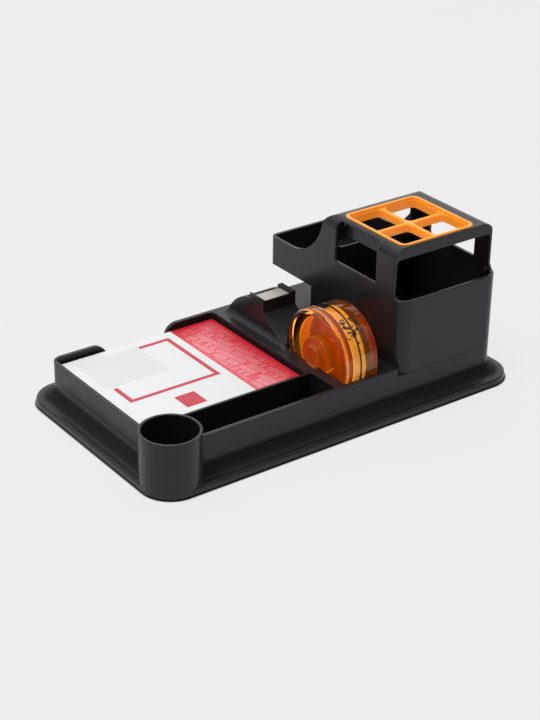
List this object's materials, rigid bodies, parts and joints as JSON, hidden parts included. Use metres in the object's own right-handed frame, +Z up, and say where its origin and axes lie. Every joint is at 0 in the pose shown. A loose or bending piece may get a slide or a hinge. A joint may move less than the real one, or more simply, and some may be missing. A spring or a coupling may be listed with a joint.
{
  "type": "desk organizer with tape dispenser",
  "caption": "Low black desk organizer: note tray, pen strip, clip cup, amber tape wheel with cutter, and a pen tower with orange grid over a drawer.",
  "frame": {"origin": "middle of the base's outline, on the table under the rubber feet", "axes": "+X from the note tray to the pen tower, +Y from the clip cup's side to the drawer's side, +Z up"},
  "size_m": [0.2576, 0.1482, 0.1001],
  "materials": {
    "black_shell": "moulded black plastic with a fine texture and a soft sheen",
    "orange_frame": "moulded orange plastic, glossy and slightly see-through at its edges",
    "amber_wheel": "clear amber plastic, polished",
    "amber_hub": "amber plastic, satin",
    "label_paper": "pale printed sleeve, bare",
    "blade_steel": "rolled steel strip",
    "note_paper": "stack of cut sheets",
    "cover_paper": "coated cover with flat colour areas",
    "backing_board": "grey board",
    "ballast_steel": "cut bar",
    "foot_rubber": "matt rubber",
    "screw_steel": "zinc plated"
  },
  "bodies": {
    "base": {"base_shell": "black_shell", "tower_shell": "black_shell", "bottom_plate": "black_shell", "ballast_weight": "ballast_steel", "foot_front_left": "foot_rubber", "foot_front_right": "foot_rubber", "foot_rear_left": "foot_rubber", "foot_rear_right": "foot_rubber", "base_screws": "screw_steel", "tower_screws": "screw_steel", "blade_holder": "black_shell", "cutter_blade": "blade_steel"},
    "spindle": {"spindle_core": "amber_hub", "spindle_cap": "amber_hub"},
    "wheel": {"wheel_left_half": "amber_wheel", "wheel_right_half": "amber_wheel", "wheel_label": "label_paper"},
    "grid": {"pen_grid": "orange_frame"},
    "note_pad": {"pad_cover": "cover_paper", "pad_sheets": "note_paper", "pad_backing": "backing_board"},
    "drawer": {"drawer_tray": "black_shell", "drawer_front": "black_shell"}
  },
  "joints": [
    {"name": "spindle_lift", "type": "slide", "parent": "base", "child": "spindle", "axis": [0, 0, 1], "range_m": [0, 0.045]},
    {"name": "wheel_spin", "type": "hinge", "parent": "spindle", "child": "wheel", "pos_m": [0.0179, -0.0313, 0.0332], "axis": [1, 0, 0], "continuous": true},
    {"name": "pen_grid_lift", "type": "slide", "parent": "base", "child": "grid", "axis": [0, 0, 1], "range_m": [0, 0.03]},
    {"name": "note_pad_lift", "type": "slide", "parent": "base", "child": "note_pad", "axis": [0, 0, 1], "range_m": [0, 0.03]},
    {"name": "drawer_slide", "type": "slide", "parent": "base", "child": "drawer", "axis": [0, 1, 0], "range_m": [0, 0.085]}
  ]
}
